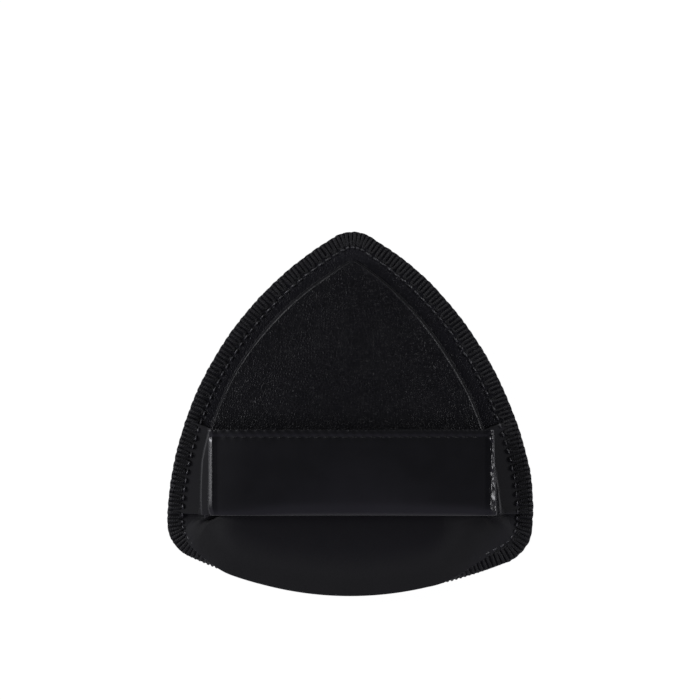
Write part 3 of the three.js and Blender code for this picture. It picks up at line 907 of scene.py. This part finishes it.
def foam_rings(top):
    """The rings of the foam's upper or lower side, down or up to its waist."""
    curl = curl_at(foam_stations)
    bottom = VELOUR_THICKNESS + LAYER_GAP + 0 * curl
    rim = crown_points(foam_stations, np.zeros(1))[0, :, 1] - COVER_THICKNESS - LAYER_GAP
    rim = mix(rim, FOAM_SOFT_RIM, softness_at(foam_stations) * (1 - curl))
    rim = rim - FOAM_CURL_DROP * curl
    if top:
        crown = crown_points(foam_stations, np.linspace(1, 0.06, 18) ** 1.3)
        crown = crown - np.array([0, COVER_THICKNESS + LAYER_GAP])
        corner, rounding = pair(FOAM_INSET, rim), 0.5
    else:
        insets = np.linspace(MIDDLE_INSET, FOAM_INSET + FOAM_BEVEL + 0.6, 10)
        crown = pair(insets[:, None], bottom)
        corner, rounding = pair(FOAM_INSET + 0.2, bottom), FOAM_BEVEL
    corners = np.stack([crown[-1], corner, pair(FOAM_INSET, (rim + bottom) / 2)])
    side = refined(rounded(corners, [rounding]), FOAM_STEP)
    profile = np.concatenate([crown[:-1], side])[::-1]
    return rings_of(foam_stations, profile, FOAM_COARSER)


upper_foam, lower_foam = foam_rings(True), foam_rings(False)
foam_points = np.concatenate(upper_foam + lower_foam[1:])
# Both sides share the ring of points at the waist
start = sum(len(ring) for ring in upper_foam) - FOAM_COLUMNS
foam_faces = ring_faces(upper_foam)
for face in ring_faces(lower_foam, start, down=True):
    foam_faces.append(np.where(face < start + FOAM_COLUMNS, face - start, face))
foam = mesh_piece("foam_block", foam_points, foam_faces, FOAM)
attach(foam, "puff")
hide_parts("foam_core")


# The strap


def station_at_y(first_arc, inset, ys):
    """Where the outline at an inset reaches each y, on two arcs that follow each other."""
    ys = np.asarray(ys, float)
    insets = np.full(len(ys), float(inset))

    def y_of(way):
        way = np.clip(way, 0, 2 - 1e-9)
        arc = first_arc + np.floor(way).astype(int)
        return points_at(arc, way % 1, insets)[:, 1] - MIDDLE[1]

    low, high = np.zeros(len(ys)), np.full(len(ys), 2 - 1e-9)
    rising = y_of(high) > y_of(low)
    for _ in range(44):
        half = (low + high) / 2
        below = (y_of(half) < ys) == rising
        low, high = np.where(below, half, low), np.where(below, high, half)
    low = np.clip(low, 0, 2 - 1e-9)
    return first_arc + np.floor(low).astype(int), low % 1


STRAP_LOWER_Y = LOWEST + STRAP_RISE
STRAP_UPPER_Y = STRAP_LOWER_Y + STRAP_WIDTH
STRAP_TOP = PAD_HEIGHT + FINGER_GAP + STRAP_THICKNESS
HALF_THICKNESS = STRAP_THICKNESS / 2
CREASE = STRAP_SPAN / 2


def strap_shape(x, y):
    """How far the strap's surface rises over its plain height."""
    share = np.clip(np.abs(x) / CREASE, 0, 1)
    rise = STRAP_BOW * (1 - share**2)
    # The folded lower side droops, less so at its ends
    held = mix(DROOP_LEFT, 1, smooth(x, *DROOP_LEFT_X))
    held = held * (1 - DROOP_RIGHT * smooth(x, *DROOP_RIGHT_X))
    for droop, width in ((FOLD_DROOP, FOLD_WIDTH), (EDGE_DROOP, EDGE_WIDTH)):
        across = np.clip((y - STRAP_LOWER_Y) / width, 0, 1)
        rise = rise - droop * held * (1 - across) ** 2
    rise = rise + STRAP_WAVES[0] * waves(x, y, STRAP_WAVES[1], 11)
    # The left end curls down over its crease, and stands up a little just before it
    left = np.clip(-x - END_CURL_X, 0, None)
    rise = rise - END_CURL * left**2 / (left + END_CURL_EASE)
    rise = rise + END_LIP * smooth(-x, *END_LIP_X)
    rise = rise - RIGHT_DIP * smooth(x, *RIGHT_DIP_X) * smooth(y, *RIGHT_DIP_Y)
    # A shallow fold that opens towards the lower side
    deep = np.clip((WEDGE_TIP[1] - y) / WEDGE_LENGTH, 0, None)
    wide = WEDGE_WIDTHS[0] + WEDGE_WIDTHS[1] * deep
    rise = rise - WEDGE_DEPTH * deep**2 * np.exp(-(((x - WEDGE_TIP[0]) / wide) ** 2))
    # The upper right tips away
    rise = rise - RIGHT_TIP * smooth(x, *RIGHT_TIP_X) * smooth(y, *RIGHT_TIP_Y)
    # Puckers along the seam, and a scalloped edge beyond it
    stitch = np.cos(2 * math.pi * (x + CREASE) / HEM_PITCH)
    near = np.exp(-(((y - STRAP_UPPER_Y + HEM_INSET) / PUCKER_WIDTH) ** 2))
    rise = rise - near * (PUCKER_DEPTHS[0] + PUCKER_DEPTHS[1] * stitch)
    beyond = smooth(y, STRAP_UPPER_Y - SCALLOP_WIDTH, STRAP_UPPER_Y)
    return rise + beyond * (SCALLOP_RISES[0] + SCALLOP_RISES[1] * stitch)


def strap_middle(side, ys):
    """The strap's middle surface, from the puff's middle out to its sewn end, at each y."""
    left = side < 0
    inside = np.clip(ys, STRAP_LOWER_Y + 0.02, STRAP_UPPER_Y - 0.02)
    station = station_at_y(LEFT_SIDE if left else RIGHT_ROUNDING, SHOULDER_INSET, inside)
    over = TAIL_THICKNESS / 2 + TAIL_CLEARANCE
    shoulder, foot = cover_corners(station)[1:3]
    lift = np.array([-over, over])
    end = flange_point(curl_at(station), TAIL_SETBACK + 0.3, -over)
    on_pad = place(station, np.stack([shoulder + lift, foot + lift, end]))
    on_pad[..., 1] += (ys - inside)[None]
    reach, ground = np.abs(on_pad[0, :, 0]), on_pad[0, :, 2]
    share = (ys - STRAP_LOWER_Y) / STRAP_WIDTH
    creases, landings, bevels, turns, (seed, amount) = ENDS[side]
    crease = mix(*creases, share)
    landing = np.minimum(mix(*landings, share), reach - LANDING_ROOM)
    bevel = [mix(low, high, share) for low, high in zip(*bevels)]
    if left:
        crease = crease - CREASE_STEP * (1 - smooth(share, *CREASE_STEP_SHARES))
        bevel[1] = bevel[1] * (1 - BEVEL_LOSS * smooth(share, *BEVEL_LOSS_SHARES))
    span = STRAP_TOP - HALF_THICKNESS
    outwards = (
        (0, span), (crease, span), (crease + bevel[0], span - bevel[1]), (landing, ground + 0.1)
    )
    corners = [np.stack(np.broadcast_arrays(side * x, ys, z), -1) for x, z in outwards]
    landed = np.minimum(0.05, (reach - landing) * 0.45)
    roundings = [*turns, landed, landed, 0.15]
    path = rounded(np.stack([*corners, *on_pad]), roundings, hold=0.04)
    path = refined(path, STRAP_STEP)
    x, y, z = (path[..., i] for i in range(3))
    free = np.clip((z - ground - 0.3) / (span - ground - 0.3), 0, 1)
    # The ends are crinkled where they drop, the left one less
    slope = smooth(free, 0.02, 0.3) * smooth(1 - free, 0.06, 0.3)
    (large, length), (small, short) = CRINKLES
    crinkle = large * waves(y * 1.2, z, length, seed) + small * waves(y, z, short, seed + 10)
    path[..., 0] += side * crinkle * slope * amount
    path[..., 2] += strap_shape(x, y) * free
    glints = smooth(side * x, *RIPPLES_X) * smooth(z, *RIPPLES_Z) * amount
    path[..., 2] += RIPPLES[0] * waves(2.2 * x, 0.8 * y, RIPPLES[1], seed + 20) * glints
    return path


def section_points():
    """The strap's folded section: places across it, and depths on either side of its middle."""
    low, high = STRAP_LOWER_Y + HALF_THICKNESS, STRAP_UPPER_Y
    hem = high - np.array([0, 0.12, 0.3, 0.6, 0.9, 1.15, 1.4, 1.65, 1.9, 2.3])
    flat = np.concatenate([hem, np.linspace(high - 2.75, low, 28)])
    turn = np.linspace(0, math.pi, 9)[1:-1]
    section = []
    for depth in (HALF_THICKNESS, -PLY_GAP / 2):
        section += [(y, depth) for y in flat]
        section += [(low - abs(depth) * math.sin(a), depth * math.cos(a)) for a in turn]
        section += [(y, -depth) for y in flat[::-1]]
    section = np.array(section)
    # The cut edges are pressed thin
    rim = np.abs(section[:, 0] - high) < 1e-9
    section[rim & (np.abs(section[:, 1]) > PLY_GAP), 1] *= 0.72
    return section


def strap_half(name, side):
    section = section_points()
    ys, depths = section.T
    reach = 0.05
    sheets = strap_middle(side, np.concatenate([ys, ys + reach, ys - reach]))
    middle, above, below = np.split(sheets, 3, axis=1)
    normal = unit(np.cross(np.gradient(middle, axis=0), above - below)) * -side
    free = smooth(middle[..., 2], *TAIL_HEIGHTS)
    pressed = mix(TAIL_THICKNESS / STRAP_THICKNESS, 1, free)
    beside = np.minimum(ys - STRAP_LOWER_Y, STRAP_UPPER_Y - ys)
    sunk = TAIL_SINK * (1 - free) * (1 - smooth(beside, 0, 1.9))
    points = middle + normal * (depths[None] * pressed - sunk)[..., None]
    rows, columns = points.shape[:2]
    faces = ring_faces(points)[:-1]
    for start, flip in ((0, True), ((rows - 1) * columns, False)):
        for i in range(columns // 2 - 1):
            quad = start + np.array([i, i + 1, columns - 2 - i, columns - 1 - i])
            faces.append(quad if flip else quad[::-1])
    if side > 0:
        faces = [face[::-1] for face in faces]
    return mesh_piece(name, points.reshape(-1, 3), faces, SATIN, sharp=50)


def bend(piece, side):
    """Bakes the half's transform into its mesh."""
    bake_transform(piece)


for name, side, tail in (
    ("strap_left_half", -1, "strap_left_tail"),
    ("strap_right_half", 1, "strap_right_tail"),
):
    piece = strap_half(name, side)
    bend(piece, side)
    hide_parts(tail, "finger_strap")


# The seam along the strap's upper side


def hem_half(name, side):
    random = np.random.default_rng(41 + side)
    keys = []
    for i in range(HEM_STITCHES):
        lean = random.normal(0, HEM_LEAN)
        for share, across, rise in (
            (0.0, 0, -0.35),
            (0.17, 0.05 + lean, -0.14),
            (0.35, 0.04 + lean, 0.03),
            (0.65, -0.04 - lean, 0.03),
            (0.83, -0.05 - lean, -0.14),
        ):
            keys.append(((i + share) * HEM_PITCH, across, rise))
    keys.append((HEM_STITCHES * HEM_PITCH, 0, -0.35))
    keys = np.array(keys) * (side, 1, 1) + (0, STRAP_UPPER_Y - HEM_INSET, 0)
    x, y, rise = smooth_path(keys, 4)[: (len(keys) - 1) * 4 + 1].T
    path = np.stack([x, y, STRAP_TOP + strap_shape(x, y) + rise], -1)
    up = np.broadcast_to(np.array([0.0, 0.0, 1.0]), path.shape)
    points, faces, uv = tube(path, up, HEM_RADII)
    return mesh_piece(name, points, faces, LOOPER, uv)


for name, side in (("hem_left_stitches", -1), ("hem_right_stitches", 1)):
    piece = hem_half(name, side)
    bend(piece, side)
    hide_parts("strap_hem_thread")


# The overlock


def tail_lift(lengths):
    """How far the threads rise over the strap's sewn ends."""
    most = np.zeros(len(lengths))
    for first_arc in (RIGHT_ROUNDING, LEFT_SIDE):
        sides = station_at_y(first_arc, SHOULDER_INSET, [STRAP_LOWER_Y, STRAP_UPPER_Y])
        ends = length_at(sides)
        beside = np.maximum(ends.min() - lengths, lengths - ends.max())
        most = np.maximum(most, 1 - smooth(beside, *LIFT_BESIDE))
    return most


def edge_points(lengths, along, rise):
    """Points near the flange: along it from its edge, and over its upper face."""
    lengths = lengths % PERIMETER
    station = stations(lengths)
    curl = curl_at(station)
    lift = tail_lift(lengths) * smooth(rise, *LIFT_OVER) * smooth(along, *LIFT_ALONG)
    return place(station, flange_point(curl, along, -(rise + TAIL_LIFT * lift)))


def edge_thread(keys, steps, radii):
    """A closed thread round the edge through keys of length, along, rise and lie."""
    wrapped = np.concatenate([keys[-2:], keys, keys[:3]])
    wrapped[:2, 0] -= PERIMETER
    wrapped[-3:, 0] += PERIMETER
    fine = smooth_path(wrapped, steps)[2 * steps : (2 + len(keys)) * steps]
    lengths, along, rise, lie = fine.T
    path = edge_points(lengths, along, rise)
    reach = 0.02
    over = edge_points(lengths, along - reach * np.sin(lie), rise + reach * np.cos(lie))
    return tube(path, unit(over - path), radii, closed=True)


PITCH = PERIMETER / STITCHES
OVER, ROUND_CORNER, DOWN = 0.0, math.radians(50), math.radians(90)
LOOP_SIDE = [
    # share of the pitch, along, rise, and which way the thread's flat side faces
    (0.25, -0.09, -0.36, DOWN),
    (0.25, -0.02, 0.08, ROUND_CORNER),
    (0.25, 0.45, 0.22, OVER),
    (0.25, 1.15, 0.27, OVER),
    (0.26, 1.9, 0.24, OVER),
    (0.35, 2.3, 0.19, OVER),
]
LOOP_KEYS = [
    *LOOP_SIDE,
    (0.5, 2.43, 0.16, OVER),
    *[(1 - key[0], *key[1:]) for key in LOOP_SIDE[::-1]],
    (0.86, -0.12, -0.62, DOWN),
    (1.0, -0.14, -0.74, DOWN),
    (1.14, -0.12, -0.62, DOWN),
]


def scattered(random, scatter, shape):
    deviation, limit = scatter
    return random.normal(0, deviation, shape).clip(-limit, limit)


def looper_keys(seed, below):
    """The keys of a looper thread, stitch by stitch, each a little different."""
    random = np.random.default_rng(seed)
    keys = []
    leans = scattered(random, LEAN_SCATTER, (STITCHES + 1, 2))
    reach = scattered(random, REACH_SCATTER, STITCHES)
    height = scattered(random, RISE_SCATTER, (STITCHES, 2))
    knot = scattered(random, KNOT_SCATTER, STITCHES)
    for i in range(STITCHES):
        for share, along, rise, lie in LOOP_KEYS:
            second = int(share > 0.5)
            inner = np.clip(along / 2.4, 0, 1)
            lean = leans[i, second] * inner if share != 0.5 else leans[i].mean()
            along = along + reach[i] * inner**3 - (knot[i] if along < 0 else 0)
            rise = rise + height[i, second] * math.sin(math.pi * min(inner, 1))
            if below:
                rise, lie = -SEAM_DEPTH - rise, math.pi - lie
            shift = 0.25 if below else 0.0
            keys.append(((i + share + lean + shift) * PITCH, along, rise, lie))
    return np.array(keys)


def needle_keys():
    """The keys of the needle thread: a dash on the cover for each stitch, and under it between."""
    random = np.random.default_rng(53)
    keys = []
    for i in range(STITCHES):
        first, second, _ = scattered(random, NEEDLE_SCATTER, 3)
        for share, wander, rise in (
            (0.0, 0, -0.35), (0.2, first, -0.08), (0.36, first, 0.2),
            (0.64, second, 0.2), (0.8, second, -0.08),
        ):
            keys.append(((i + share) * PITCH, NEEDLE_LINE + wander, rise, OVER))
    return np.array(keys)


for name, keys, radii, node_name, material in (
    ("upper_looper_loops", looper_keys(51, False), THREAD_RADII, "overlock_upper_looper", LOOPER),
    ("lower_looper_loops", looper_keys(52, True), THREAD_RADII, "overlock_lower_looper", LOOPER),
    ("needle_stitches", needle_keys(), NEEDLE_RADII, "overlock_needle_thread", NEEDLE),
):
    points, faces, uv = edge_thread(keys, 3, radii)
    piece = mesh_piece(name, points, faces, material, uv)
    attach(piece, "puff")
    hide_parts(node_name)


# Floor, lights and camera, in metres and watts

FLOOR_RADIUS = 2.5
FLOOR_SIDES = 96
FLOOR_GLOW = 0.93  # how much of the floor's own look is white where the camera sees it
FLOOR_GAP = 0.05  # millimetres, under the puff
FLOOR_COLOUR, FLOOR_WHITE = (0.85, 0.85, 0.85), 1.05
floor_mesh = bpy.data.meshes.new("floor")
turns = np.linspace(0, 2 * math.pi, FLOOR_SIDES, endpoint=False)
floor_points = [
    (FLOOR_RADIUS * math.cos(a), FLOOR_RADIUS * math.sin(a), -FLOOR_GAP * MM) for a in turns
]
floor_mesh.from_pydata(floor_points, [], [range(FLOOR_SIDES)])
floor = new_object("floor", floor_mesh)
floor_material = bpy.data.materials.new("pale_floor")
floor_material.use_nodes = True
tree = floor_material.node_tree
tree.nodes.clear()
seen = source(tree, "LightPath", "Is Camera Ray")
plain = node(tree, "BsdfDiffuse", {"Color": (*FLOOR_COLOUR, 1)})
white = node(tree, "Emission", {"Color": (1, 1, 1, 1), "Strength": FLOOR_WHITE})
glow = maths(tree, "MULTIPLY", seen, FLOOR_GLOW)
shown = node(tree, "MixShader", {0: glow, 1: plain, 2: white})
# The floor is clear from below, so that the puff's face can be seen
from_below = source(tree, "NewGeometry", "Backfacing")
clear = node(tree, "BsdfTransparent", {"Color": (1, 1, 1, 1)})
shown = node(tree, "MixShader", {0: from_below, 1: shown, 2: clear})
output = tree.nodes.new("ShaderNodeOutputMaterial")
tree.links.new(shown, output.inputs["Surface"])
floor_mesh.materials.append(floor_material)

# The world's light: low all round and weaker behind, from the front, and from the left
HORIZON_LIGHT, ZENITH_LIGHT, BACK_SHARE = 0.35, 0.03, 0.3
FRONT_LIGHT, FRONT_COLOUR, FRONT_REACH = 0.36, (0.8, 0.76, 1), (-0.42, -0.03)
LEFT_LIGHT, LEFT_COLOUR, LEFT_REACH = 0.2, (0.9, 0.9, 1), (-0.36, -0.09)
world = bpy.data.worlds.new("studio")
bpy.context.scene.world = world
world.use_nodes = True
tree = world.node_tree
tree.nodes.clear()


def sky(colour, strength):
    return node(tree, "Background", {"Color": (*colour, 1), "Strength": strength})


x, y, z = split(tree, source(tree, "TexCoord", "Generated"))
low = ranged(tree, z, (0.0, 0.5), (HORIZON_LIGHT, ZENITH_LIGHT))
around = maths(tree, "MULTIPLY", low, ranged(tree, y, (0.2, 0.7), (1.0, BACK_SHARE)))
front = sky(FRONT_COLOUR, ranged(tree, y, FRONT_REACH, (FRONT_LIGHT, 0.0)))
left = sky(LEFT_COLOUR, ranged(tree, x, LEFT_REACH, (LEFT_LIGHT, 0.0)))
lit = node(tree, "AddShader", {0: sky((1, 1, 1), around), 1: front})
lit = node(tree, "AddShader", {0: lit, 1: left})
seen = source(tree, "LightPath", "Is Camera Ray")
shown = node(tree, "MixShader", {0: seen, 1: lit, 2: sky((1, 1, 1), 1.0)})
output = tree.nodes.new("ShaderNodeOutputWorld")
tree.links.new(shown, output.inputs["Surface"])

LAMP_COLOUR = (0.96, 0.96, 1)
LAMPS = [
    # name, place, width, height, power
    ("left_softbox", (-0.49, 0.38, 0.38), 0.3, 0.22, 1.7),
    ("left_strip", (-0.61, 0.1, 0.42), 0.12, 0.22, 2.5),
    ("right_softbox", (0.53, 0.33, 0.38), 0.34, 0.24, 1.5),
    ("right_strip", (0.62, 0.03, 0.42), 0.14, 0.24, 1.8),
]
for name, at, width, height, power in LAMPS:
    lamp = bpy.data.lights.new(name, "AREA")
    lamp.shape = "RECTANGLE"
    lamp.size, lamp.size_y = width, height
    lamp.energy, lamp.color = power, LAMP_COLOUR
    lamp_object = new_object(name, lamp)
    lamp_object.location = at
    lamp_object.rotation_euler = (-Vector(at)).to_track_quat("-Z", "Y").to_euler()
    lamp_object.visible_camera = False

CAMERA_DISTANCE = 1.2
camera_data = bpy.data.cameras.new("camera")
camera_data.sensor_width = 36
camera_data.lens = 36 * CAMERA_DISTANCE / (FRAME_PX / PX_PER_MM * MM)
camera = new_object("camera", camera_data)
camera.location = (
    (FRAME_PX / 2 - OUTLINE_MIDDLE_PX[0]) / PX_PER_MM * MM,
    (OUTLINE_MIDDLE_PX[1] - FRAME_PX / 2) / PX_PER_MM * MM,
    CAMERA_DISTANCE + FLANGE_HEIGHT * MM,
)
bpy.context.scene.camera = camera
bpy.context.scene.view_settings.view_transform = "Standard"
